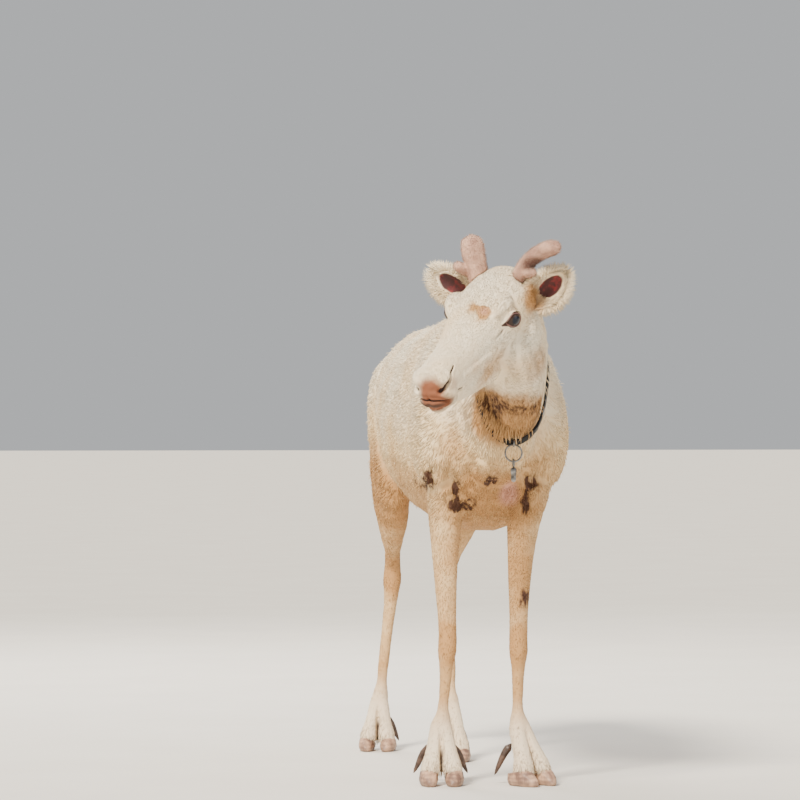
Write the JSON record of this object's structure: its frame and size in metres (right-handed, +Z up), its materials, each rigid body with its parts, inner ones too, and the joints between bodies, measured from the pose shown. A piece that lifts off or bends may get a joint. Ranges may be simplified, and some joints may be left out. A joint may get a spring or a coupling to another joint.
{
  "type": "reindeer",
  "caption": "White reindeer standing square with its head turned, growing velvet antlers and a collar, as a still life-size model.",
  "frame": {"origin": "on the floor, under the middle of the whole animal's bounding box", "axes": "-Y the way the trunk faces, +X the animal's left, +Z up"},
  "size_m": [0.4116, 1.4342, 1.1014],
  "materials": {
    "coat": "short moulting summer hair, cream white over tan",
    "eye": "wet, nearly black",
    "velvet": "short velvet over growing antler",
    "hoof": "dull horn",
    "dewclaw": "dull dark horn",
    "strap": "worn, black",
    "fittings": "dull grey"
  },
  "bodies": {
    "root": {"torso": "coat", "neck": "coat", "head": "coat", "eye_left": "eye", "eye_right": "eye", "ear_left": "coat", "ear_right": "coat", "antler_left_beam": "velvet", "antler_left_tine": "velvet", "antler_right_beam": "velvet", "antler_right_tine": "velvet", "front_leg_left_upper": "coat", "front_leg_left_cannon": "coat", "front_foot_left": "coat", "front_hoof_left_l": "hoof", "front_hoof_left_r": "hoof", "front_dewclaw_left_l": "dewclaw", "front_dewclaw_left_r": "dewclaw", "front_leg_right_upper": "coat", "front_leg_right_cannon": "coat", "front_foot_right": "coat", "front_hoof_right_l": "hoof", "front_hoof_right_r": "hoof", "front_dewclaw_right_l": "dewclaw", "front_dewclaw_right_r": "dewclaw", "hind_leg_left_upper": "coat", "hind_leg_left_cannon": "coat", "hind_foot_left": "coat", "hind_hoof_left_l": "hoof", "hind_hoof_left_r": "hoof", "hind_dewclaw_left_l": "dewclaw", "hind_dewclaw_left_r": "dewclaw", "hind_leg_right_upper": "coat", "hind_leg_right_cannon": "coat", "hind_foot_right": "coat", "hind_hoof_right_l": "hoof", "hind_hoof_right_r": "hoof", "hind_dewclaw_right_l": "dewclaw", "hind_dewclaw_right_r": "dewclaw", "collar_strap": "strap", "collar_buckle": "fittings", "collar_free_end": "strap", "collar_loop": "fittings", "collar_ring": "fittings", "swivel_eyelet": "fittings", "swivel_body": "fittings", "tail": "coat"}
  },
  "joints": []
}
